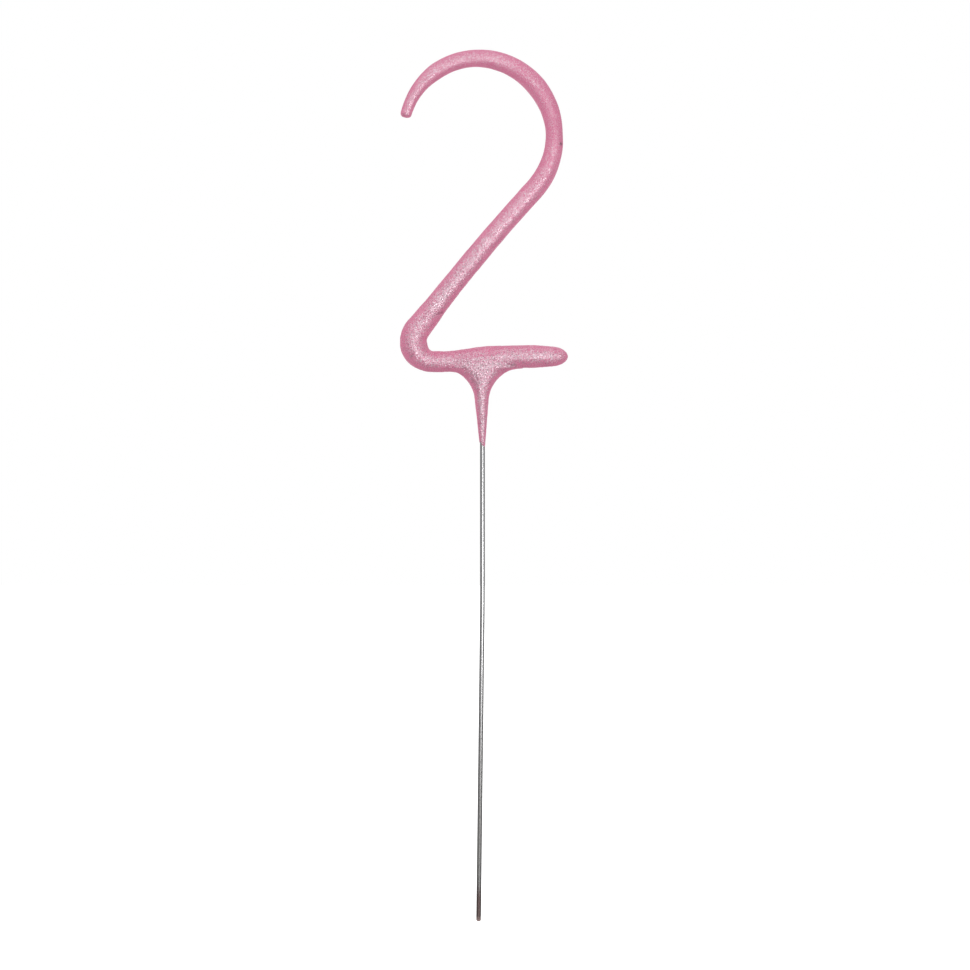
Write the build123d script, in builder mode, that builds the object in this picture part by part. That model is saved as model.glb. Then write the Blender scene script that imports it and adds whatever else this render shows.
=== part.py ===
"""Sparkler bent to the numeral 2, on a bare wire stem.

A jig-bent steel wire carries a short welded bar, two dips of sparkler composition and a thin colour coat.
The stem's lower end is the origin, Z is up, and the numeral reads from the -Y side with X to the right.
"""
import os
from math import ceil, cos, degrees, radians, sin, sqrt

from build123d import *

# Wire
wire_diameter = 1.0
wire_end_round = 0.2

# Bending schedule of the formed wire, from the stem's lower end to the end of the hook
stem_foot_length = 62.0
stem_lean = 0.7
stem_bow_length = 8.0
stem_top_length = 43.5
neck_bend_radius = 2.0
base_run = 8.1
corner_radius = 4.15
corner_turn = 127.25
diagonal_length = 37.5
diagonal_bow = 5.1
shoulder_radius = 16.3
shoulder_turn = 100.7
crown_radius = 15.3
crown_turn = 107.0

# Short bar that lies on the base, and the spot weld between the two wires
lap_length = 2.6
bar_nose_cover = 1.5
weld_set_down = 0.1
weld_length = 1.8
weld_width = 0.6
weld_height = 0.4

# Layers
coat_thickness = 0.15
second_dip_thickness = 0.35
tip_cover = 0.8
tip_dome = 0.6
tip_flat = 0.5
tip_dome_rises = (0.0, 0.1, 0.3, 0.6)
section_step = 1.5

# Stroke over the whole numeral: stretch, share along it from the hook's tip, and width over the coat
first_stroke = (
    ("crown", 0.035, 2.30),
    ("crown", 0.246, 2.90),
    ("crown", 0.400, 3.45),
    ("crown", 0.657, 3.50),
    ("crown", 0.872, 3.90),
    ("shoulder", 0.190, 4.22),
    ("shoulder", 0.406, 3.80),
    ("shoulder", 0.566, 3.53),
    ("shoulder", 0.730, 3.84),
    ("shoulder", 0.943, 4.28),
    ("diagonal", 0.205, 4.22),
    ("diagonal", 0.450, 4.36),
    ("diagonal", 0.694, 4.39),
    ("diagonal", 0.857, 4.70),
    ("diagonal", 0.939, 4.55),
    ("corner", 0.100, 4.75),
    ("corner", 0.440, 4.80),
    ("corner", 0.790, 3.80),
    ("base", 0.113, 3.50),
    ("base", 1.000, 2.60),
)

# Stroke of the second dip, from its lip on the lower diagonal to the base
second_stroke = (
    ("diagonal", 0.872, 4.88),
    ("diagonal", 0.939, 5.11),
    ("corner", 0.100, 5.52),
    ("corner", 0.440, 5.68),
    ("corner", 0.600, 5.33),
    ("corner", 0.790, 4.61),
    ("base", 0.090, 4.25),
    ("base", 0.600, 4.25),
    ("base", 1.000, 3.30),
)

# Right arm of the base, about its own axis: a ramp left of the stem, then a nose out past the hook's side
arm_rise = 1.08
arm_ramp_reach = 7.2
arm_ramp_width = 1.6
arm_stem_width = 4.25
arm_swell_share = 0.582
arm_swell_width = 4.74
arm_nose_width = 4.14
arm_nose_length = 3.64
arm_overhang = 2.85
nose_turn = 80
nose_steps = 8

# Neck below the base: a slow cone up the stem, flared into the base
neck_height = 17.5
neck_foot_ring = 0.06
neck_growth = 0.095
neck_depth_growth = 0.075
neck_flare_radius = 5.8
neck_flare_turn = 78
flare_steps = 6
neck_top_share = 0.7
neck_offset = 0.16

# Sizes that follow
wire_radius = wire_diameter / 2
lean = radians(stem_lean)
cover_turn = degrees(tip_cover / crown_radius)

with BuildLine(Plane.XZ) as wire_line:
    foot_run = Line((0, 0), (stem_foot_length * sin(lean), stem_foot_length * cos(lean)))
    slow_bend = JernArc(foot_run @ 1, foot_run % 1, stem_bow_length / lean, stem_lean)
    top_run = Line(slow_bend @ 1, slow_bend @ 1 + stem_top_length * (slow_bend % 1))
    neck_bend = JernArc(top_run @ 1, top_run % 1, neck_bend_radius, 90)
    left_run = Line(neck_bend @ 1, neck_bend @ 1 + base_run * (neck_bend % 1))
    corner = JernArc(left_run @ 1, left_run % 1, corner_radius, -corner_turn)
    diagonal = JernArc(corner @ 1, corner % 1, diagonal_length / radians(diagonal_bow), -diagonal_bow)
    shoulder = JernArc(diagonal @ 1, diagonal % 1, shoulder_radius, shoulder_turn)
    crown = JernArc(shoulder @ 1, shoulder % 1, crown_radius, crown_turn)

stem_x = (top_run @ 1).X
base_level = (left_run @ 0).Z
bar_level = base_level + wire_diameter - weld_set_down
bar_start = stem_x - neck_bend_radius - lap_length
hook_side = shoulder.bounding_box().max.X
arm_reach = hook_side + arm_overhang - stem_x
bar_length = stem_x + arm_reach - bar_nose_cover - bar_start
arm_level = base_level + arm_rise
foot_level = base_level - neck_height
flare_level = arm_level - arm_swell_width / 2 - neck_flare_radius

with BuildLine(Plane.XZ) as stroke_line:
    Line(left_run @ 0 + Vector(neck_bend_radius, 0, 0), left_run @ 1)
    JernArc(left_run @ 1, left_run % 1, corner_radius, -corner_turn)
    JernArc(diagonal @ 0, diagonal % 0, diagonal_length / radians(diagonal_bow), -diagonal_bow)
    JernArc(diagonal @ 1, diagonal % 1, shoulder_radius, shoulder_turn)
    JernArc(shoulder @ 1, shoulder % 1, crown_radius, crown_turn + cover_turn)

stroke = stroke_line.wire()
stretch_length = {
    "crown": crown.length + tip_cover,
    "shoulder": shoulder.length,
    "diagonal": diagonal.length,
    "corner": corner.length,
    "base": left_run.length + neck_bend_radius,
}


def distance_to(stretch, share):
    """Measure along the stroke from the hook's tip to a share of one of its stretches."""
    before = 0.0
    for name, length in stretch_length.items():
        if name == stretch:
            return before + share * length
        before += length


def width_at(distance, stations):
    """Read the stroke's width at a distance from the hook's tip, straight between the stations."""
    near, near_width = 0.0, stations[0][2]
    for stretch, share, width in stations:
        far = distance_to(stretch, share)
        if distance <= far:
            return near_width + (width - near_width) * (distance - near) / (far - near)
        near, near_width = far, width
    return near_width


def stroke_section(distance, radius):
    """Draw a round section across the stroke at a distance from the hook's tip."""
    centre = stroke.position_at(stroke.length - distance, PositionMode.LENGTH)
    along = stroke.tangent_at(stroke.length - distance, PositionMode.LENGTH)
    with BuildSketch(Plane(centre, x_dir=(0, 1, 0), z_dir=along)) as section:
        Circle(radius)
    return section.sketch


def stroke_run(start, stations, inset):
    """Draw the stroke's sections from a distance to its buried end, in even steps."""
    count = ceil((stroke.length - start) / section_step)
    sections = []
    for number in range(count + 1):
        distance = start + (stroke.length - start) * number / count
        sections.append(stroke_section(distance, width_at(distance, stations) / 2 - inset))
    return sections


def whole_stroke(inset):
    """Add the stroke over the whole numeral, with a blunt dome at the hook's tip."""
    tip_radius = width_at(0, first_stroke) / 2 - inset
    dome = []
    for rise in tip_dome_rises:
        swell = tip_flat + (1 - tip_flat) * sqrt(1 - (1 - rise) ** 2)
        dome.append(stroke_section(inset + rise * tip_dome, swell * tip_radius))
    loft(dome + stroke_run(inset + tip_dome, first_stroke, inset), ruled=True, clean=False)


def lower_stroke(inset):
    """Add the stroke of the second dip, whose lip steps back by the inset."""
    stretch, share, _ = second_stroke[0]
    lip = distance_to(stretch, share) + inset
    loft(stroke_run(lip, second_stroke, inset), ruled=True, clean=False)


def base_arm(inset):
    """Add the right arm of the base, round about its own axis, with an elliptical nose."""
    outline = [
        (-arm_ramp_reach, arm_ramp_width / 2 - inset),
        (0, arm_stem_width / 2 - inset),
        (arm_swell_share * arm_reach, arm_swell_width / 2 - inset),
    ]
    for number in range(nose_steps + 1):
        turn = radians(nose_turn) * number / nose_steps
        reach = arm_reach - arm_nose_length + (arm_nose_length - inset) * sin(turn)
        outline.append((reach, (arm_nose_width / 2 - inset) * cos(turn)))
    sections = []
    for reach, radius in outline:
        with BuildSketch(Plane((stem_x + reach, 0, arm_level), x_dir=(0, 1, 0), z_dir=(1, 0, 0))) as section:
            Circle(radius)
        sections.append(section.sketch)
    loft(sections, ruled=True, clean=False)


def neck(inset):
    """Add the neck: ellipses up the stem, flared along an arc, closed inside the base."""
    foot = wire_radius + neck_foot_ring
    flare = neck_flare_radius + inset
    flare_start = flare_level - foot_level
    outline = [(inset / neck_depth_growth, 0.0, 1.0)]
    for number in range(flare_steps + 1):
        turn = radians(neck_flare_turn) * number / flare_steps
        outline.append((flare_start + flare * sin(turn), flare * (1 - cos(turn)), 1.0))
    outline.append((neck_height, 0.0, neck_top_share))
    sections = []
    for height, spread, share in outline:
        shift = -neck_offset * min(height / flare_start, 1)
        with BuildSketch(Plane((stem_x + shift, 0, foot_level + height))) as section:
            Ellipse(
                share * (foot + neck_growth * height + spread - inset),
                share * (foot + neck_depth_growth * height - inset),
            )
        sections.append(section.sketch)
    loft(sections, ruled=True, clean=False)


# Formed wire: bare stem, neck bend, left half of the base, corner, diagonal and hook
with BuildPart() as formed_wire_blank:
    with BuildSketch(Plane(wire_line.wire() @ 0, x_dir=(0, 1, 0), z_dir=wire_line.wire() % 0)):
        Circle(wire_radius)
    sweep(path=wire_line.wire())
    fillet(formed_wire_blank.edges().sort_by(Axis.Z)[0], wire_end_round)

# Spot weld: metal squeezed out flat between the two wires
with BuildPart() as lap_weld:
    weld_middle = (stem_x - neck_bend_radius - lap_length / 2, 0, (base_level + bar_level) / 2)
    with BuildSketch(Plane(weld_middle)):
        SlotOverall(weld_length, weld_width)
    extrude(amount=weld_height / 2, both=True)

with BuildPart() as formed_wire:
    add(formed_wire_blank.part)
    add(lap_weld.part, mode=Mode.SUBTRACT)

# Short bar: makes the right half of the base, flattened where it is welded down
with BuildPart() as base_bar_wire:
    with BuildSketch(Plane((bar_start, 0, bar_level), x_dir=(0, 1, 0), z_dir=(1, 0, 0))):
        Circle(wire_radius)
    extrude(amount=bar_length)
    add(formed_wire_blank.part, mode=Mode.SUBTRACT)
    add(lap_weld.part, mode=Mode.SUBTRACT)

# First dip: composition over the whole numeral, slimmer where the second dip covers it
with BuildPart() as first_lump:
    whole_stroke(coat_thickness)
    base_arm(coat_thickness + second_dip_thickness)
    neck(coat_thickness + second_dip_thickness)

with BuildPart() as first_dip:
    add(first_lump.part, clean=False)
    for metal in (formed_wire, base_bar_wire, lap_weld):
        add(metal.part, clean=False, mode=Mode.SUBTRACT)

# Second dip: composition over the lower diagonal, corner, base and neck
with BuildPart() as second_lump:
    lower_stroke(coat_thickness)
    base_arm(coat_thickness)
    neck(coat_thickness)

with BuildPart() as second_dip:
    add(second_lump.part, clean=False)
    add(first_lump.part, clean=False, mode=Mode.SUBTRACT)
    add(formed_wire.part, clean=False, mode=Mode.SUBTRACT)

# Colour coat: thin lacquer over both dips, down to the foot of the neck
with BuildPart() as colour_coat:
    whole_stroke(0)
    lower_stroke(0)
    base_arm(0)
    neck(0)
    add(first_lump.part, clean=False, mode=Mode.SUBTRACT)
    add(second_lump.part, clean=False, mode=Mode.SUBTRACT)
    add(formed_wire.part, clean=False, mode=Mode.SUBTRACT)

os.makedirs("parts", exist_ok=True)

formed_wire.part.label = "formed_wire"
export_step(formed_wire.part, "parts/formed_wire.step")
base_bar_wire.part.label = "base_bar_wire"
export_step(base_bar_wire.part, "parts/base_bar_wire.step")
lap_weld.part.label = "lap_weld"
export_step(lap_weld.part, "parts/lap_weld.step")
first_dip.part.label = "first_dip"
export_step(first_dip.part, "parts/first_dip.step")
second_dip.part.label = "second_dip"
export_step(second_dip.part, "parts/second_dip.step")
colour_coat.part.label = "colour_coat"
export_step(colour_coat.part, "parts/colour_coat.step")
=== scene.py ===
import bpy
import numpy as np
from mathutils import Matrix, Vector


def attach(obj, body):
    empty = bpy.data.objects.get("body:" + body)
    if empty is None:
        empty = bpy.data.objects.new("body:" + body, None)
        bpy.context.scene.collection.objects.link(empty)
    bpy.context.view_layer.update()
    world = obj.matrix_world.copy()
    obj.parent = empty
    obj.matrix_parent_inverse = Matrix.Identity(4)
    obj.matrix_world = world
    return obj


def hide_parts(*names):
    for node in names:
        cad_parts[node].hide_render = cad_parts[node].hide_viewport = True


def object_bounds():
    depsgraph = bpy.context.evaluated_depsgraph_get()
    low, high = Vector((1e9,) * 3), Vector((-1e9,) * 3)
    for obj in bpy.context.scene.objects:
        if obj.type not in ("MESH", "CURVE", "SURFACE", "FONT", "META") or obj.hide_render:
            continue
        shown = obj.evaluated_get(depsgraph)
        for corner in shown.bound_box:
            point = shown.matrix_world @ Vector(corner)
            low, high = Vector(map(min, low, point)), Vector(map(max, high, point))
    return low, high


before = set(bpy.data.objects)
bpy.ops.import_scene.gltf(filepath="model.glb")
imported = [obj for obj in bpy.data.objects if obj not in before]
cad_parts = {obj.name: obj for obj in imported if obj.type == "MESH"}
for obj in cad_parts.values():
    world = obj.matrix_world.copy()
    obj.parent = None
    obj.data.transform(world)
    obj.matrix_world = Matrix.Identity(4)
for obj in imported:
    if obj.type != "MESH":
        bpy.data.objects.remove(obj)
cad_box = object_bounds()

# Formed wire. One length of bright drawn steel wire, 1.0 mm thick, cropped and tumbled at its lower end
# and bent cold on a jig. The bare stem shows; from the neck bend to the hook it is inside the coat.
MM = 0.001
wire_radius = 0.5
wire_end_round = 0.42
end_fullness = 2.4
wire_around = 28
wire_step = 0.4
stem_heading = 89.3
neck_bend_radius = 2.0
base_run = 8.1
stem_runs = ((62.0, 0.0), (8.0, 0.7), (43.5, 0.0))
stem_length = 113.5
neck_bend = ((neck_bend_radius * np.radians(90.0), 90.0), (base_run, 0.0))
corner = (4.15 * np.radians(127.25), -127.25)
diagonal = (37.5, -5.1)
shoulder = (16.3 * np.radians(100.7), 100.7)
crown = (15.3 * np.radians(107.0), 107.0)


def bent_line(start, heading, runs, step=0.02):
    """Line of straight runs and arcs in the XZ plane, from a list of lengths and turns.

    The heading turns evenly along each run, and the place is the running sum of the heading's cosine
    and sine.
    """
    lengths, turns = np.array(runs).T
    marks = np.concatenate(([0.0], np.cumsum(lengths)))
    bearings = np.concatenate(([0.0], np.cumsum(turns))) + heading
    way = np.linspace(0.0, marks[-1], int(marks[-1] / step) + 2)
    bearing = np.radians(np.interp((way[1:] + way[:-1]) / 2, marks, bearings))
    strides = np.diff(way)[:, None] * np.stack([np.cos(bearing), np.sin(bearing)], axis=1)
    return np.array(start) + np.concatenate((np.zeros((1, 2)), np.cumsum(strides, axis=0)))


def along(line):
    """Distance along a line of points, as the running sum of the steps between them."""
    return np.concatenate(([0.0], np.cumsum(np.hypot(*np.diff(line, axis=0).T))))


def carried_ring(line, way, radius, angle, depth=1.0):
    """Round profile carried along a line in the XZ plane, as a grid of rings and points around.

    Each point is the line's place at that distance, plus the radius times the cosine of the angle towards the
    left of travel and the sine of the angle times the depth towards +Y.
    """
    marks = along(line)
    slope = np.gradient(line, marks, axis=0)
    bearing = np.interp(way, marks, np.unwrap(np.arctan2(slope[:, 1], slope[:, 0])))[:, None]
    place_x = np.interp(way, marks, line[:, 0])[:, None]
    place_z = np.interp(way, marks, line[:, 1])[:, None]
    side = radius[:, None] * np.cos(angle)
    return np.stack(
        [
            place_x - side * np.sin(bearing),
            radius[:, None] * depth * np.sin(angle),
            place_z + side * np.cos(bearing),
        ],
        axis=-1,
    )


def grid_quads(index):
    """Four-sided faces between neighbours in a grid of point numbers whose columns close into rings."""
    beside = np.roll(index, -1, axis=1)
    return np.stack([index[:-1], index[1:], beside[1:], beside[:-1]], axis=-1).reshape(-1, 4)


def fan(ring, pole, flip):
    """Triangles from a closed ring of point numbers to one pole."""
    beside = np.roll(ring, -1)
    centre = np.full_like(ring, pole)
    return np.stack([ring, centre, beside] if flip else [ring, beside, centre], axis=-1)


def smooth_piece(name, points, faces):
    """Mesh object at the origin with smooth faces, from points in millimetres and lists of faces."""
    mesh = bpy.data.meshes.new(name)
    mesh.from_pydata((points * MM).tolist(), [], [face for group in faces for face in group.tolist()])
    mesh.polygons.foreach_set("use_smooth", np.ones(len(mesh.polygons), dtype=bool))
    mesh.validate()
    mesh.update()
    piece = bpy.data.objects.new(name, mesh)
    bpy.context.scene.collection.objects.link(piece)
    return piece


wire_line = bent_line((0.0, 0.0), stem_heading, stem_runs + neck_bend + (corner, diagonal, shoulder, crown))
wire_length = along(wire_line)[-1]
end_turn = np.linspace(0.0, np.pi / 2, 9)[1:]
wire_way = np.concatenate(
    [
        wire_end_round * (1 - np.cos(end_turn)),
        np.arange(wire_end_round + wire_step, wire_length, wire_step),
        [wire_length],
    ]
)
end_left = np.clip(1 - wire_way / wire_end_round, 0, 1)
wire_angle = np.linspace(0, 2 * np.pi, wire_around, endpoint=False)
wire_half = wire_radius * (1 - end_left**end_fullness) ** (1 / end_fullness)
wire_grid = carried_ring(wire_line, wire_way, wire_half, wire_angle)
wire_index = np.arange(wire_grid.shape[0] * wire_around).reshape(-1, wire_around)
wire_poles = np.array([[0.0, 0.0, 0.0], [wire_line[-1, 0], 0.0, wire_line[-1, 1]]])
formed_wire = smooth_piece(
    "stem_wire",
    np.concatenate([wire_grid.reshape(-1, 3), wire_poles]),
    [
        grid_quads(wire_index),
        fan(wire_index[0], wire_index.size, False),
        fan(wire_index[-1], wire_index.size + 1, True),
    ],
)


def linear(hex_colour):
    """Linear colour of an sRGB hex value."""
    value = np.array([int(hex_colour[n : n + 2], 16) for n in (1, 3, 5)]) / 255
    return (*np.where(value <= 0.04045, value / 12.92, ((value + 0.055) / 1.055) ** 2.4), 1.0)


def add(tree, kind, links=None, values=None, **settings):
    """Add a node to a tree, with its settings, the values of its sockets and the links into them."""
    node = tree.nodes.new(kind)
    for name, value in settings.items():
        setattr(node, name, value)
    for name, value in (values or {}).items():
        node.inputs[name].default_value = value
    for name, socket in (links or {}).items():
        tree.links.new(socket, node.inputs[name])
    return node


def new_material(name):
    """Empty material with its tree and the object's own coordinates."""
    material = bpy.data.materials.new(name)
    material.use_nodes = True
    tree = material.node_tree
    tree.nodes.clear()
    return material, tree, add(tree, "ShaderNodeTexCoord").outputs["Object"]


def shade(tree, shader):
    """Link a shader to the material's surface."""
    add(tree, "ShaderNodeOutputMaterial", {"Surface": shader.outputs[0]})


# Bright drawn steel wire: die lines along it blur the gloss lengthwise, the lower half is rougher and darker,
# its darkness painted shade where the front light fades, and the lower end is tinted by heat. The lines are
# drawn coarser than real ones, so that they show.
die_line_width = 0.11 * MM
die_line_length = 25.0 * MM
bright_wire, tree, place = new_material("bright_drawn_steel_wire")
lines = add(
    tree, "ShaderNodeMapping", {"Vector": place},
    {"Scale": (1 / die_line_width, 1 / die_line_width, 1 / die_line_length)},
)
scratch = add(tree, "ShaderNodeTexNoise", {"Vector": lines.outputs[0]}, {"Scale": 1.0, "Detail": 1.5})
height = add(tree, "ShaderNodeSeparateXYZ", {"Vector": place})
heat = add(
    tree, "ShaderNodeMapRange", {"Value": height.outputs["Z"]},
    {"From Min": 4.5 * MM, "From Max": 8.5 * MM, "To Min": 1.0, "To Max": 0.0},
    interpolation_type="SMOOTHSTEP",
)
steel = add(
    tree, "ShaderNodeMix", {"Factor": scratch.outputs["Fac"]},
    {"A": linear("#adadae"), "B": linear("#c8c8c9")}, data_type="RGBA",
)
rough_and_painted_shade_below = add(
    tree, "ShaderNodeMapRange", {"Value": height.outputs["Z"]},
    {"From Min": 14.0 * MM, "From Max": 72.0 * MM, "To Min": 1.0, "To Max": 0.0},
    interpolation_type="SMOOTHSTEP",
)
# Painted shade: towards the bottom the steel's colour is made darker, where the front light fades
steel = add(
    tree, "ShaderNodeMix", {"Factor": rough_and_painted_shade_below.outputs[0], "A": steel.outputs["Result"]},
    {"B": linear("#a3a2a1")}, data_type="RGBA",
)
stem_colour = add(
    tree, "ShaderNodeMix", {"Factor": heat.outputs[0], "A": steel.outputs["Result"]},
    {"B": linear("#82716f")}, data_type="RGBA",
)
gloss = add(
    tree, "ShaderNodeMapRange", {"Value": scratch.outputs["Fac"]}, {"To Min": 0.16, "To Max": 0.3}
)
gloss = add(
    tree, "ShaderNodeMix", {"Factor": rough_and_painted_shade_below.outputs[0], "A": gloss.outputs[0]}, {"B": 0.52},
    data_type="FLOAT",
)
relief = add(
    tree, "ShaderNodeBump", {"Height": scratch.outputs["Fac"]}, {"Strength": 0.12, "Distance": 0.01 * MM}
)
shade(tree, add(
    tree, "ShaderNodeBsdfPrincipled",
    {"Base Color": stem_colour.outputs["Result"], "Roughness": gloss.outputs[0], "Normal": relief.outputs[0]},
    {"Metallic": 1.0},
))
formed_wire.data.materials.append(bright_wire)
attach(formed_wire, "root")
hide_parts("formed_wire")

# Short bar. A straight cut of the same bright wire that makes the right half of the base.
# It lies on top of the formed wire and is welded to it, all inside the composition.
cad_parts["base_bar_wire"].material_slots[0].material = bright_wire

# Spot weld. A flat nugget of melted steel that joins the short bar to the formed wire, where they lap.
# Heat-darkened steel: a dull skin of scale, patchy between blue grey and brown, with a fine rough grain.
weld_metal, tree, place = new_material("heat_darkened_weld_steel")
scale = add(tree, "ShaderNodeTexNoise", {"Vector": place}, {"Scale": 1 / (0.3 * MM), "Detail": 4.0})
oxide = add(
    tree, "ShaderNodeMix", {"Factor": scale.outputs["Fac"]}, {"A": linear("#4d4a50"), "B": linear("#7d746c")},
    data_type="RGBA",
)
relief = add(
    tree, "ShaderNodeBump", {"Height": scale.outputs["Fac"]}, {"Strength": 0.5, "Distance": 0.03 * MM}
)
shade(tree, add(
    tree, "ShaderNodeBsdfPrincipled", {"Base Color": oxide.outputs["Result"], "Normal": relief.outputs[0]},
    {"Metallic": 1.0, "Roughness": 0.55},
))
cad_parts["lap_weld"].material_slots[0].material = weld_metal

# Two dips. Grey sparkler composition, dried matt from a slurry with iron grains in it, over the wires:
# the first over the whole numeral, the second over the lower diagonal, corner, base and neck. It gives
# the eye a matt, gritty grey with no gloss.
composition, tree, place = new_material("dried_sparkler_composition")
grit = add(tree, "ShaderNodeTexNoise", {"Vector": place}, {"Scale": 1 / (0.35 * MM), "Detail": 5.0})
paste = add(
    tree, "ShaderNodeMix", {"Factor": grit.outputs["Fac"]}, {"A": linear("#6a6865"), "B": linear("#918e8a")},
    data_type="RGBA",
)
relief = add(
    tree, "ShaderNodeBump", {"Height": grit.outputs["Fac"]}, {"Strength": 0.6, "Distance": 0.05 * MM}
)
shade(tree, add(
    tree, "ShaderNodeBsdfPrincipled", {"Base Color": paste.outputs["Result"], "Normal": relief.outputs[0]},
    {"Roughness": 0.85},
))
for dip in ("first_dip", "second_dip"):
    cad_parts[dip].material_slots[0].material = composition

# Colour coat. Pink pearl lacquer with glitter in it, dipped over the composition in one closed skin:
# smooth and streaked along the hook and the diagonal, grainy below the second dip's lip, and ending in
# a thin, ragged foot on the neck.
coat_around = 80
ring_step = 0.17
coat_depth = 0.985
stem_x = wire_line[np.searchsorted(along(wire_line), stem_length), 0]
base_level = wire_line[np.searchsorted(along(wire_line), stem_length + neck_bend[0][0]), 1]
nose_x = 18.44
nose_length = 3.6
tip_cover = 0.8
tip_length = 0.95
corner_x = stem_x - neck_bend_radius - base_run
arm_rise = 1.08


def ease(value, low, high):
    """Smooth step: nought below low, one above high, and three squares less two cubes between."""
    share = np.clip((value - low) / (high - low), 0, 1)
    return share * share * (3 - 2 * share)


base_x = np.arange(nose_x, corner_x, -0.02)
base_line = np.stack([base_x, base_level + arm_rise * ease(base_x, -7.4, 2.6)], axis=1)
crown_over = (crown[0] + tip_cover, crown[1] * (1 + tip_cover / crown[0]))
upper_line = bent_line((corner_x, base_level), 180.0, (corner, diagonal, shoulder, crown_over))
coat_line = np.concatenate([base_line, upper_line])
coat_length = along(coat_line)[-1]
corner_way = along(base_line)[-1]
diagonal_way = corner_way + corner[0]
shoulder_way = diagonal_way + diagonal[0]
crown_way = shoulder_way + shoulder[0]

# Width of the stroke at places along it, in millimetres from the nose
stations = np.array(
    [
        (0.0, 4.14),
        (3.6, 4.14),
        (7.3, 4.74),
        (17.6, 4.30),
        (23.0, 4.25),
        (corner_way, 4.27),
        (corner_way + 0.21 * corner[0], 4.61),
        (corner_way + 0.40 * corner[0], 5.33),
        (corner_way + 0.56 * corner[0], 5.68),
        (corner_way + 0.90 * corner[0], 5.52),
        (diagonal_way + 0.061 * diagonal[0], 5.11),
        (diagonal_way + 0.128 * diagonal[0], 4.88),
        (diagonal_way + 0.143 * diagonal[0], 4.72),
        (diagonal_way + 0.306 * diagonal[0], 4.39),
        (diagonal_way + 0.550 * diagonal[0], 4.36),
        (diagonal_way + 0.795 * diagonal[0], 4.22),
        (shoulder_way + 0.057 * shoulder[0], 4.28),
        (shoulder_way + 0.270 * shoulder[0], 3.84),
        (shoulder_way + 0.434 * shoulder[0], 3.53),
        (shoulder_way + 0.594 * shoulder[0], 3.80),
        (shoulder_way + 0.810 * shoulder[0], 4.22),
        (crown_way + 0.128 * crown_over[0], 3.90),
        (crown_way + 0.343 * crown_over[0], 3.50),
        (crown_way + 0.600 * crown_over[0], 3.45),
        (crown_way + 0.754 * crown_over[0], 2.90),
        (crown_way + 0.965 * crown_over[0], 2.30),
        (coat_length, 2.30),
    ]
)
round_in = 1 - np.cos(np.linspace(0, np.pi / 2, 22)[1:])
round_out = 1 - np.cos(np.linspace(0, np.pi / 2, 12)[1:])
coat_way = np.concatenate(
    [
        nose_length * round_in,
        np.arange(nose_length + ring_step, coat_length - tip_length - ring_step / 2, ring_step),
        (coat_length - tip_length * round_out)[::-1],
    ]
)
fine_way = np.arange(0, coat_length, 0.05)
hann = np.hanning(49)
fine_width = np.interp(fine_way, stations[:, 0], stations[:, 1])
fine_width = np.convolve(np.pad(fine_width, 24, mode="edge"), hann / hann.sum(), mode="valid")
nose_left = np.clip(1 - coat_way / nose_length, 0, 1)
tip_left = np.clip(1 - (coat_length - coat_way) / tip_length, 0, 1)
coat_radius = np.interp(coat_way, fine_way, fine_width) / 2
coat_radius *= (1 - nose_left**2.15) ** 0.54 * (1 - tip_left**2.6) ** (1 / 2.6)
coat_angle = 2 * np.pi * (np.arange(coat_around) / coat_around - 0.5)
stroke = carried_ring(coat_line, coat_way, coat_radius, coat_angle, coat_depth)
stroke_index = np.arange(stroke.shape[0] * coat_around).reshape(-1, coat_around)

# Opening in the underside of the base, where the neck leaves it
ring_x = np.interp(coat_way, along(coat_line), coat_line[:, 0])
in_base = coat_way < corner_way
first_ring = np.flatnonzero(in_base & (ring_x < 8.0))[0]
last_ring = np.flatnonzero(in_base & (ring_x > -5.5))[-1]
first_side = coat_around // 2 - coat_around // 6
last_side = coat_around // 2 + coat_around // 6
rings_across = np.arange(first_ring, last_ring)
sides_across = np.arange(first_side, last_side)
loop_ring = np.concatenate(
    [
        rings_across,
        np.full(len(sides_across), last_ring),
        rings_across[::-1] + 1,
        np.full(len(sides_across), first_ring),
    ]
)
loop_side = np.concatenate(
    [
        np.full(len(rings_across), first_side),
        sides_across,
        np.full(len(rings_across), last_side),
        sides_across[::-1] + 1,
    ]
)
loop_count = len(loop_ring)
kept = np.ones((stroke.shape[0] - 1, coat_around), dtype=bool)
kept[first_ring:last_ring, first_side:last_side] = False
stroke_quads = grid_quads(stroke_index)[kept.reshape(-1)]

# Neck: a slow cone up the stem that flares into the base, as the wet slurry's own tension drew it
neck_top = 107.9
neck_lean = 0.16
foot_level = 97.995
foot_radius = 0.53
neck_growth = 0.095
neck_depth_growth = 0.075
flare_height = 9.9
flare_radius = 6.3
neck_web = 0.45
fillet = 0.8


def neck_half(height):
    """Half width of the neck: a cone, plus the rise of a quarter circle above the flare's height."""
    climb = np.clip(height - flare_height, 0, 0.999 * flare_radius)
    return foot_radius + neck_growth * height + flare_radius - np.sqrt(flare_radius**2 - climb**2)


def neck_deep(height):
    """Half depth of the neck, front to back: a cone, plus a web that eases in below the base."""
    return foot_radius + 0.02 + neck_depth_growth * height + neck_web * ease(height, 8.0, 17.0)


def neck_ring(height, turn):
    """Point of the neck's ellipse at a height above its foot and an angle from +X."""
    middle = stem_x - neck_lean * np.clip(height / flare_height, 0, 1)
    return np.stack(
        [
            middle + neck_half(height) * np.cos(turn),
            neck_deep(height) * np.sin(turn),
            foot_level + height + 0 * turn,
        ],
        axis=-1,
    )


def base_gap(point):
    """Distance outside the base: from its middle line, less the half width there."""
    line_z = np.interp(point[..., 0], base_line[::-1, 0], base_line[::-1, 1])
    half = np.interp(point[..., 0], ring_x[in_base][::-1], coat_radius[in_base][::-1])
    return np.hypot(point[..., 1] / coat_depth, point[..., 2] - line_z) - half


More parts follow.
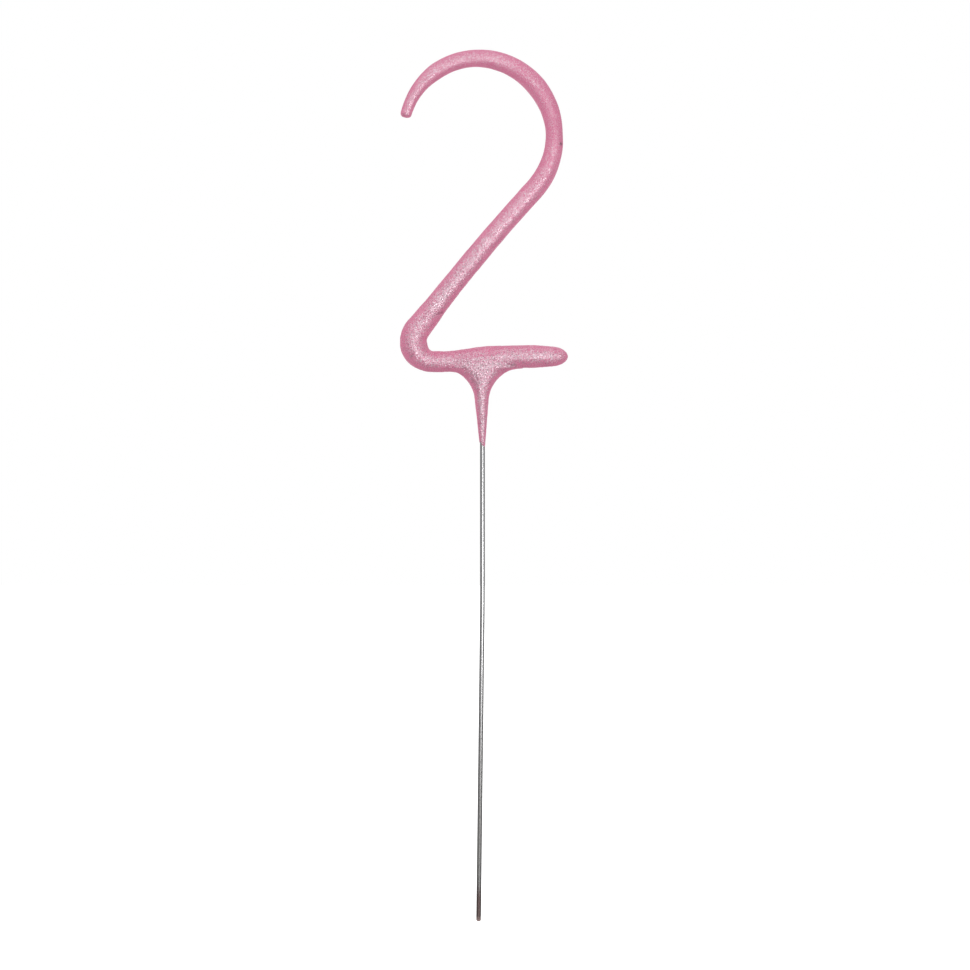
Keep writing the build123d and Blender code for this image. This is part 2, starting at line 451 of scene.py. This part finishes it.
def neck_gap(point):
    """Distance outside the neck, along the ray from its middle to the ellipse.

    Above the base's middle line it is at least the height over that line, so the neck ends there.
    """
    height = np.clip(point[..., 2] - foot_level, 0, None)
    across = point[..., 0] - stem_x + neck_lean * np.clip(height / flare_height, 0, 1)
    size = np.hypot(across / neck_half(height), point[..., 1] / neck_deep(height))
    gap = np.hypot(across, point[..., 1]) * (1 - 1 / np.maximum(size, 1e-6))
    line_z = np.interp(point[..., 0], base_line[::-1, 0], base_line[::-1, 1])
    return np.maximum(gap, point[..., 2] - line_z)


def slope_of(gap, point, step=0.01):
    """Slope of a distance in three directions, from the difference over a small step each way."""
    steps = step * np.eye(3)
    return np.stack([gap(point + way) - gap(point - way) for way in steps], axis=-1) / (2 * step)


def skin_gap(point):
    """Distance outside base and neck together.

    It is the lesser of the two, less the square of how near they are over four times the fillet.
    """
    base = base_gap(point)
    neck = neck_gap(point) / np.maximum(np.linalg.norm(slope_of(neck_gap, point), axis=-1), 1e-6)
    near = np.clip(fillet - np.abs(base - neck), 0, None)
    return np.minimum(base, neck) - near**2 / (4 * fillet)


def settle(point, weight=1.0):
    """Move points down the slope of the distance until they lie on the skin."""
    for _ in range(4):
        slope = slope_of(skin_gap, point)
        step = skin_gap(point)[..., None] * slope / np.maximum((slope**2).sum(axis=-1, keepdims=True), 0.05)
        point = point - weight * step
    return point


near_neck = np.flatnonzero(in_base & (ring_x < 14.0) & (ring_x > -8.5))
near_weight = ease(ring_x[near_neck], -8.5, -7.0) * (1 - ease(ring_x[near_neck], 12.0, 14.0))
stroke[near_neck] = settle(stroke[near_neck], near_weight[:, None, None])
loop_turn = 2 * np.pi * np.arange(loop_count) / loop_count
neck_turn = -np.pi / 2 + np.pi * len(rings_across) / loop_count - loop_turn
opening = stroke[loop_ring, loop_side]
half_long = (coat_way[last_ring] - coat_way[first_ring]) / 2
half_round = coat_radius[loop_ring] * np.radians(60)
run = coat_way[loop_ring] - (coat_way[last_ring] + coat_way[first_ring]) / 2
reach = np.clip(run, half_round - half_long, half_long - half_round) - run
swing = -coat_angle[loop_side] * coat_radius[loop_ring]
reach, swing = reach / np.hypot(reach, swing), swing / np.hypot(reach, swing)
leave = np.stack(
    [-reach, swing * np.cos(coat_angle[loop_side]), swing * np.sin(coat_angle[loop_side])], axis=-1
)
ring_height = neck_top - foot_level
meet = neck_ring(np.full(loop_count, ring_height), neck_turn)
below = neck_ring(np.full(loop_count, ring_height - 0.3), neck_turn)
arrive = (below - meet) / np.linalg.norm(below - meet, axis=-1, keepdims=True)
chord = np.linalg.norm(meet - opening, axis=-1, keepdims=True)
share = np.linspace(0, 1, 46)[:, None, None]
flare = (
    opening * (2 * share**3 - 3 * share**2 + 1)
    + leave * chord * (0.4 + 0.75 * np.abs(reach[:, None])) * (share**3 - 2 * share**2 + share)
    + meet * (3 * share**2 - 2 * share**3)
    + arrive * chord * 1.1 * (share**3 - share**2)
)
for _ in range(14):
    beside = np.roll(flare, 1, axis=1) + np.roll(flare, -1, axis=1)
    flare[1:-1] = 0.5 * flare[1:-1] + 0.125 * (beside[1:-1] + flare[:-2] + flare[2:])
    flare[1:-1] = settle(flare[1:-1])
foot_edge = (
    0.45
    - 0.45 * np.cos(neck_turn - 0.3)
    + 0.28 * np.sin(2 * neck_turn + 0.8)
    + 0.13 * np.sin(5 * neck_turn + 0.4)
    + 0.07 * np.sin(11 * neck_turn)
)
drop = np.linspace(0, 1, 64)[1:, None]
lower = neck_ring(ring_height + (foot_edge - ring_height) * drop, neck_turn + 0 * drop)
edge_in = np.array([0.045, 0.1, 0.2])[:, None]
edge_radius = np.array([0.52, 0.49, 0.42])[:, None]
tuck = np.stack(
    [
        stem_x + edge_radius * np.cos(neck_turn),
        edge_radius * np.sin(neck_turn),
        foot_level + foot_edge - edge_in,
    ],
    axis=-1,
)
neck = np.concatenate([flare[1:], lower, tuck])
neck_start = stroke_index.size + 2
neck_index = np.concatenate(
    [stroke_index[loop_ring, loop_side][None], neck_start + np.arange(neck.size // 3).reshape(-1, loop_count)]
)
poles = np.array(
    [
        [coat_line[0, 0], 0, coat_line[0, 1]],
        [coat_line[-1, 0], 0, coat_line[-1, 1]],
        [stem_x, 0, foot_level + 0.2],
    ]
)
points = np.concatenate([stroke.reshape(-1, 3), poles[:2], neck.reshape(-1, 3), poles[2:]])
faces = [
    stroke_quads,
    grid_quads(neck_index)[:, ::-1],
    fan(stroke_index[0], stroke_index.size, False),
    fan(stroke_index[-1], stroke_index.size + 1, True),
    fan(neck_index[-1], len(points) - 1, False),
]
used = np.unique(np.concatenate([group.reshape(-1) for group in faces]))
number = np.zeros(len(points), dtype=int)
number[used] = np.arange(len(used))
points = points[used]
colour_coat = smooth_piece("glitter_coat", points, [number[group] for group in faces])

# How the coat lies at each point: distance along the stroke, angle round it, grain and glitter
glitter_gather = 4.8
lip_way = diagonal_way + 0.128 * diagonal[0]
neck_count = neck.size // 3 + 1
point_way = np.concatenate([np.repeat(coat_way, coat_around), [0.0, coat_length], np.zeros(neck_count)])[used]
point_angle = np.concatenate([np.tile(coat_angle, len(coat_way)), np.zeros(2 + neck_count)])[used]
on_neck = np.concatenate([np.zeros(stroke_index.size + 2), np.ones(neck_count)])[used]
glitter_stations = np.array(
    [
        (0.0, 0.8),
        (corner_way, 0.75),
        (diagonal_way, 0.8),
        (lip_way - 0.6, 0.6),
        (lip_way + 0.8, 1.0),
        (shoulder_way - 3.0, 1.0),
        (shoulder_way + 7.0, 0.45),
        (shoulder_way + 14.0, 0.25),
        (crown_way, 0.5),
        (crown_way + 6.0, 0.75),
        (crown_way + 14.0, 0.75),
        (coat_length, 0.9),
    ]
)
grain_share = np.maximum(1 - ease(point_way, lip_way - 1.0, lip_way + 28.0), on_neck)
glitter_share = np.maximum(np.interp(point_way, glitter_stations[:, 0], glitter_stations[:, 1]), on_neck)


def waves(place, length, seed, count=24):
    """Even roughness of unit size: a sum of plane waves about one length, in seeded directions and phases."""
    draw = np.random.default_rng(seed)
    way = draw.normal(size=(place.shape[1], count))
    way *= 2 * np.pi / (length * draw.uniform(0.75, 1.35, count) * np.linalg.norm(way, axis=0))
    return np.sqrt(2 / count) * np.cos(place @ way + draw.uniform(0, 2 * np.pi, count)).sum(axis=1)


def front_spot(x, z, wide, high):
    """Spot on the front of the coat: one in its middle, fading as a bell curve of that width and height."""
    return np.exp(-(((points[:, 0] - x) / wide) ** 2) - ((points[:, 2] - z) / high) ** 2) * (points[:, 1] < 0)


# Lumps that the slurry left, grain of the second dip and streaks drawn along the hook, each about 0.01 mm
relief = 0.012 * waves(points, 7.0, 2) + 0.006 * waves(points, 2.6, 3)
relief += 0.01 * grain_share * waves(points, 0.8, 5)
streak_place = np.stack([point_way / 14.0, 2.0 * np.cos(point_angle), 2.0 * np.sin(point_angle)], axis=1)
relief += 0.008 * (1 - grain_share) * waves(streak_place, 0.9, 7)

# Lip of the second dip: a crease on the lower right side of the diagonal, deepest at its right end
lip_left, lip_right = np.array([-9.38, 124.9]), np.array([-7.5, 125.6])
lip_share = (points[:, 0] - lip_left[0]) / (lip_right[0] - lip_left[0])
lip_rise = points[:, 2] - lip_left[1] - lip_share * (lip_right[1] - lip_left[1])
lip_show = ease(lip_share, -0.3, 0.5) * (1 - ease(lip_share, 0.95, 1.3)) * (points[:, 1] < 0)
lip_crease = lip_show * np.exp(-((lip_rise / 0.2) ** 2))
relief += 0.05 * lip_show * np.tanh(-lip_rise / 0.2) - 0.12 * lip_crease

# Small faults of the dipping: two nicks, a pin hole, a smooth dent over the stem and a step beside it
pits = 0.6 * front_spot(-3.6, 131.1, 0.3, 0.2)
pits += 0.5 * front_spot(-3.5, 132.9, 0.2, 0.2)
pits += 1.6 * front_spot(17.0, 160.4, 0.22, 0.26)
smooth_dent = front_spot(2.3, 117.5, 1.3, 0.6)
relief -= 0.08 * smooth_dent
glitter_share = glitter_share * (1 - 0.7 * smooth_dent) * (1 - np.clip(lip_crease + pits, 0, 1))
step_show = np.exp(-(((points[:, 2] - 115.4) / 1.3) ** 4)) * (points[:, 1] < 0)
step_show *= 1 - ease(points[:, 0], 5.2, 9.0)
relief -= 0.05 * step_show * ease(points[:, 0], 4.95, 5.25)

# Two dimples in the blunt end of the hook
pits += front_spot(-15.5, 166.4, 0.22, 0.3) + front_spot(-14.85, 166.4, 0.22, 0.3)
relief -= 0.1 * np.clip(pits, 0, 1)
on_tip = points[:, 0] < -14.0
# Share that darkens the crease and the pits: thin lacquer there, and painted shade in the hollows
thin_coat_painted_shade_share = np.clip(0.7 * lip_crease + pits * (1 - 0.6 * on_tip), 0, 1)
relief *= np.where(on_neck > 0, ease(points[:, 2], foot_level + 1.2, foot_level + 3.0), 1.0)

normals = np.empty(points.size)
colour_coat.data.vertex_normals.foreach_get("vector", normals)
normals = normals.reshape(-1, 3)
# Glitter lies thickest on the front and the back and thins towards the edges of the stroke
glitter_share = glitter_share * np.abs(normals[:, 1]) ** glitter_gather
skin = points + relief[:, None] * normals
skin = np.clip(skin, np.array(cad_box[0]) / MM, np.array(cad_box[1]) / MM)
colour_coat.data.vertices.foreach_set("co", (skin * MM).reshape(-1))
colour_coat.data.update()
for name, share_of in (("glitter", glitter_share), ("grain", grain_share), ("thin_coat_painted_shade", thin_coat_painted_shade_share)):
    colour_coat.data.attributes.new(name, "FLOAT", "POINT").data.foreach_set("value", share_of)

# Above the lip the lacquer drained along the stroke, so its flakes lie drawn out along the way
way_stretch = 0.65
round_stretch = 3.6
drawn_out = np.stack(
    [
        way_stretch * point_way,
        round_stretch * np.cos(point_angle),
        round_stretch * np.sin(point_angle),
    ],
    axis=1,
)
flow = np.where((point_way > lip_way)[:, None], drawn_out, points) * MM
colour_coat.data.attributes.new("flow", "FLOAT_VECTOR", "POINT").data.foreach_set("vector", flow.reshape(-1))

# Pink pearl lacquer: a plain pink with soft clouding, and silver glitter that whitens where it catches
# a lamp. The dust is so fine that it shows as a haze. The foil is drawn coarser than real, so that it shows.
dust_size = 0.07 * MM
foil_size = 0.12 * MM
lacquer, tree, place = new_material("pink_pearl_glitter_lacquer")
glitter = add(tree, "ShaderNodeAttribute", attribute_name="glitter").outputs["Fac"]
grain = add(tree, "ShaderNodeAttribute", attribute_name="grain").outputs["Fac"]
flow_place = add(tree, "ShaderNodeAttribute", attribute_name="flow").outputs["Vector"]
dust = add(tree, "ShaderNodeTexVoronoi", {"Vector": flow_place}, {"Scale": 1 / dust_size})
chance = add(tree, "ShaderNodeSeparateColor", {"Color": dust.outputs["Color"]})
bare = add(tree, "ShaderNodeMapRange", {"Value": glitter}, {"To Min": 0.92, "To Max": 0.61})
silver = add(
    tree, "ShaderNodeMath", {0: chance.outputs["Green"], 1: bare.outputs[0]}, operation="GREATER_THAN"
)
dust_lean = add(
    tree, "ShaderNodeVectorMath", {0: dust.outputs["Color"]}, {1: (0.5, 0.83, 0.5)}, operation="SUBTRACT"
)
sway = add(tree, "ShaderNodeMapRange", {"Value": glitter}, {"To Min": 0.15, "To Max": 0.6})
sway = add(tree, "ShaderNodeMath", {0: sway.outputs[0], 1: silver.outputs[0]}, operation="MULTIPLY")
dust_lean = add(
    tree, "ShaderNodeVectorMath", {0: dust_lean.outputs[0], "Scale": sway.outputs[0]}, operation="SCALE"
)
flake = add(tree, "ShaderNodeTexVoronoi", {"Vector": flow_place}, {"Scale": 1 / foil_size})
draw = add(tree, "ShaderNodeSeparateColor", {"Color": flake.outputs["Color"]})
sparse = add(tree, "ShaderNodeMapRange", {"Value": grain}, {"To Min": 0.94, "To Max": 0.79})
sparse = add(
    tree, "ShaderNodeMix", {"Factor": glitter, "B": sparse.outputs[0]}, {"A": 1.0}, data_type="FLOAT"
)
foil = add(tree, "ShaderNodeMath", {0: draw.outputs["Green"], 1: sparse.outputs[0]}, operation="GREATER_THAN")
foil_lean = add(
    tree, "ShaderNodeVectorMath", {0: flake.outputs["Color"]}, {1: (0.5, 0.92, 0.5)}, operation="SUBTRACT"
)
foil_lean = add(tree, "ShaderNodeVectorMath", {0: foil_lean.outputs[0]}, {"Scale": 0.85}, operation="SCALE")
lean = add(
    tree, "ShaderNodeMix", {"Factor": foil.outputs[0], "A": dust_lean.outputs[0], "B": foil_lean.outputs[0]},
    data_type="VECTOR",
)
silver = add(tree, "ShaderNodeMath", {0: silver.outputs[0], 1: foil.outputs[0]}, operation="MAXIMUM")
facing = add(tree, "ShaderNodeNewGeometry")
lean = add(
    tree, "ShaderNodeVectorMath", {0: facing.outputs["Normal"], 1: lean.outputs["Result"]}, operation="ADD"
)
lean = add(tree, "ShaderNodeVectorMath", {0: lean.outputs[0]}, operation="NORMALIZE")
cloud = add(tree, "ShaderNodeTexNoise", {"Vector": flow_place}, {"Scale": 1 / (2.4 * MM), "Detail": 3.0})
pink = add(
    tree, "ShaderNodeMix", {"Factor": cloud.outputs["Fac"]}, {"A": linear("#cc6f92"), "B": linear("#e586a7")},
    data_type="RGBA",
)
# Among the glitter of the grainy part some grains are dull and dark: partly dull grains, partly painted shade
# of flakes tilted away from the lamps
dull_grain_painted_shade_share = add(tree, "ShaderNodeMath", {0: grain, 1: glitter}, operation="MULTIPLY")
dull_grain_painted_shade_share = add(tree, "ShaderNodeMath", {0: dull_grain_painted_shade_share.outputs[0]}, {1: 0.36}, operation="MULTIPLY")
dull_grain_painted_shade = add(tree, "ShaderNodeMath", {0: draw.outputs["Green"], 1: dull_grain_painted_shade_share.outputs[0]}, operation="LESS_THAN")
dull_grain_painted_shade = add(tree, "ShaderNodeMath", {0: dull_grain_painted_shade.outputs[0]}, {1: 0.65}, operation="MULTIPLY")
pink = add(
    tree, "ShaderNodeMix", {"Factor": dull_grain_painted_shade.outputs[0], "A": pink.outputs["Result"]}, {"B": linear("#7d5466")},
    data_type="RGBA",
)
# In creases and pits the colour is darkened: partly thin lacquer over the grey composition, partly painted
# shade in their hollows
thin_coat_painted_shade = add(tree, "ShaderNodeAttribute", attribute_name="thin_coat_painted_shade").outputs["Fac"]
thin_coat_painted_shade = add(tree, "ShaderNodeMath", {0: thin_coat_painted_shade}, {1: 0.9}, operation="MULTIPLY")
pink = add(
    tree, "ShaderNodeMix", {"Factor": thin_coat_painted_shade.outputs[0], "A": pink.outputs["Result"]}, {"B": linear("#7a4358")},
    data_type="RGBA",
)
tint = add(
    tree, "ShaderNodeMix", {"Factor": foil.outputs[0]}, {"A": linear("#f0e2e9"), "B": linear("#eed6e0")},
    data_type="RGBA",
)
pink = add(
    tree, "ShaderNodeMix",
    {"Factor": silver.outputs[0], "A": pink.outputs["Result"], "B": tint.outputs["Result"]},
    data_type="RGBA",
)
gloss = add(tree, "ShaderNodeMapRange", {"Value": glitter}, {"To Min": 0.6, "To Max": 0.3})
shade(tree, add(
    tree, "ShaderNodeBsdfPrincipled",
    {
        "Base Color": pink.outputs["Result"],
        "Metallic": silver.outputs[0],
        "Roughness": gloss.outputs[0],
        "Normal": lean.outputs[0],
    },
    {"IOR": 1.5},
))
colour_coat.data.materials.append(lacquer)
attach(colour_coat, "root")
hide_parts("colour_coat")

# Studio. A plain white floor and surround, soft lamps in front and a camera in front.
# Grey cards, which only reflections see, stand for the dark and light things that wire and glitter show.
# One lamp feeds gloss alone, so that the glitter sparkles without more light on the pink.
floor_level = cad_box[0][2]
everywhere = 4.0


def flat_sheet(name, centre, across, up):
    """Flat sheet about a centre, with half its width and half its height as directions."""
    centre, across, up = (np.array(v, dtype=float) for v in (centre, across, up))
    mesh = bpy.data.meshes.new(name)
    corners = [centre - across - up, centre + across - up, centre + across + up, centre - across + up]
    mesh.from_pydata([tuple(corner) for corner in corners], [], [(0, 1, 2, 3)])
    sheet = bpy.data.objects.new(name, mesh)
    bpy.context.scene.collection.objects.link(sheet)
    return sheet


def seen_straight(tree):
    """One for rays from the camera and for what gloss and glass show, and nought for light that spreads."""
    path = add(tree, "ShaderNodeLightPath")
    seen = add(
        tree, "ShaderNodeMath", {0: path.outputs["Is Camera Ray"], 1: path.outputs["Is Glossy Ray"]},
        operation="MAXIMUM",
    )
    return add(
        tree, "ShaderNodeMath", {0: seen.outputs[0], 1: path.outputs["Is Transmission Ray"]},
        operation="MAXIMUM",
    )


floor = flat_sheet("floor", (0, 0, floor_level), (everywhere, 0, 0), (0, everywhere, 0))
white_floor, tree, place = new_material("white_floor")
glow = add(tree, "ShaderNodeMath", {0: seen_straight(tree).outputs[0]}, {1: 0.82}, operation="MULTIPLY")
shade(tree, add(
    tree, "ShaderNodeAddShader",
    {
        0: add(tree, "ShaderNodeBsdfDiffuse", None, {"Color": (0.92, 0.92, 0.92, 1.0)}).outputs[0],
        1: add(tree, "ShaderNodeEmission", {"Strength": glow.outputs[0]}).outputs[0],
    },
))
floor.data.materials.append(white_floor)

world = bpy.data.worlds.new("studio")
bpy.context.scene.world = world
world.use_nodes = True
tree = world.node_tree
tree.nodes.clear()
level = add(
    tree, "ShaderNodeMapRange", {"Value": seen_straight(tree).outputs[0]}, {"To Min": 0.8, "To Max": 1.0}
)
sky = add(tree, "ShaderNodeBackground", {"Strength": level.outputs[0]}, {"Color": (1, 1, 1, 1)})
add(tree, "ShaderNodeOutputWorld", {"Surface": sky.outputs[0]})

for name, grey, centre, across, up in (
    ("left_card", 0.4, (-0.5, -0.475, 0.13), (0, 0.475, 0), (0, 0, 0.13)),
    ("right_card", 0.38, (0.5, -0.475, 0.2), (0, 0.475, 0), (0, 0, 0.2)),
    ("left_back_card", 0.25, (-0.5, 0.6, 0.3), (0, 0.6, 0), (0, 0, 0.4)),
    ("right_back_card", 0.25, (0.5, 0.6, 0.3), (0, 0.6, 0), (0, 0, 0.4)),
    ("back_card", 0.8, (0, 1.25, 0.7), (1.6, 0, 0), (0, 0, 0.9)),
    ("table_card", 0.1, (0, -0.575, floor_level + 0.001), (0.5, 0, 0), (0, 0.575, 0)),
    ("back_table_card", 0.12, (0, 0.1, floor_level + 0.001), (0.4, 0, 0), (0, 0.1, 0)),
    ("bright_table_card", 0.95, (0.15, -0.46, floor_level + 0.002), (0.23, 0, 0), (0, 0.35, 0)),
):
    card = flat_sheet(name, centre, across, up)
    card_grey, tree, place = new_material(name)
    shade(tree, add(tree, "ShaderNodeEmission", None, {"Strength": grey}))
    card.data.materials.append(card_grey)
    card.visible_camera = False
    card.visible_diffuse = False
    card.visible_transmission = False
    card.visible_shadow = False


def turn_to(holder, aim):
    """Turn a lamp so that it looks at an aim."""
    holder.rotation_euler = (Vector(aim) - Vector(holder.location)).to_track_quat("-Z", "Y").to_euler()


def soft_lamp(name, place, aim, wide, high, power):
    """Soft lamp of a width and height at a place, turned to an aim."""
    lamp = bpy.data.lights.new(name, "AREA")
    lamp.shape = "RECTANGLE"
    lamp.size = wide
    lamp.size_y = high
    lamp.energy = power
    holder = bpy.data.objects.new(name, lamp)
    holder.location = place
    turn_to(holder, aim)
    bpy.context.scene.collection.objects.link(holder)
    return holder


numeral_middle = (0.0, 0.0, 0.13)
key_lamp = soft_lamp("key_lamp", (-0.55, -0.8, 0.85), numeral_middle, 0.6, 0.6, 2.2)
key_lamp.visible_glossy = False
fill_lamp = soft_lamp("fill_lamp", (1.0, -0.55, 0.16), numeral_middle, 0.5, 0.3, 0.8)
fill_lamp.visible_glossy = False
sparkle_lamp = soft_lamp("sparkle_lamp", (0.17, -0.47, 0.045), numeral_middle, 0.3, 0.09, 0.44)
sparkle_lamp.visible_diffuse = False
sparkle_lamp.visible_camera = False

frame_width = 0.2002
camera_distance = 1.2
camera = bpy.data.cameras.new("camera")
camera.sensor_width = 36.0
camera.lens = 36.0 * camera_distance / frame_width
camera.clip_end = 100.0
holder = bpy.data.objects.new("camera", camera)
holder.location = (0.00133, -camera_distance, 0.09005)
holder.rotation_euler = (np.pi / 2, 0, 0)
bpy.context.scene.collection.objects.link(holder)
bpy.context.scene.camera = holder
bpy.context.scene.view_settings.view_transform = "Standard"
